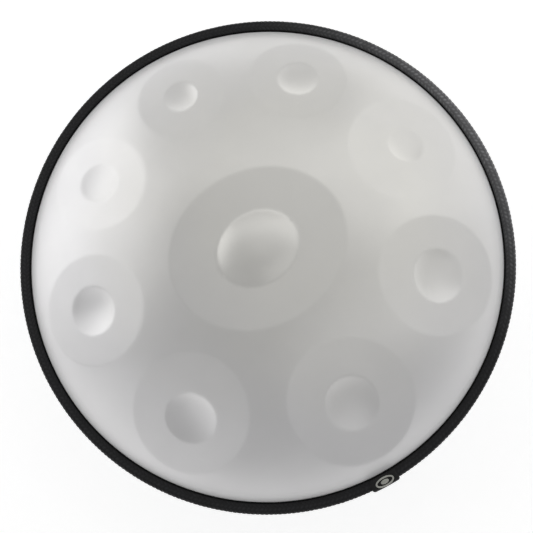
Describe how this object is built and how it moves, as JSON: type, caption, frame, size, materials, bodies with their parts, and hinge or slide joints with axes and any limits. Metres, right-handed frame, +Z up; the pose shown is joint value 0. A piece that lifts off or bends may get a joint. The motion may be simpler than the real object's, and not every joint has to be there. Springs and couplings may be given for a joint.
{
  "type": "handpan",
  "caption": "Round steel hand drum of two glued domed shells with tuned oval tone fields, an open port underneath and a braided rim trim.",
  "frame": {"origin": "on the instrument's axis, at the plane of the flat ring around the port that it rests on", "axes": "+Z up through the central note; -Y towards the player, nearest the two largest outer notes; +X to the player's right"},
  "size_m": [0.56, 0.56, 0.2254],
  "materials": {
    "coated_steel_top": "satin light silver-grey coating",
    "coated_steel_bottom": "satin light silver-grey coating",
    "glue": "cured epoxy, matt",
    "channel_rubber": "smooth black rubber",
    "braid": "charcoal flat braid",
    "sleeve_rubber": "moulded black rubber",
    "badge_metal": "satin"
  },
  "bodies": {
    "root": {"top_shell": "coated_steel_top", "bottom_shell": "coated_steel_bottom", "seam_glue": "glue", "edge_channel": "channel_rubber", "rim_band": "braid", "badge_sleeve": "sleeve_rubber", "badge_ring": "badge_metal", "badge_boss": "badge_metal"}
  },
  "joints": []
}
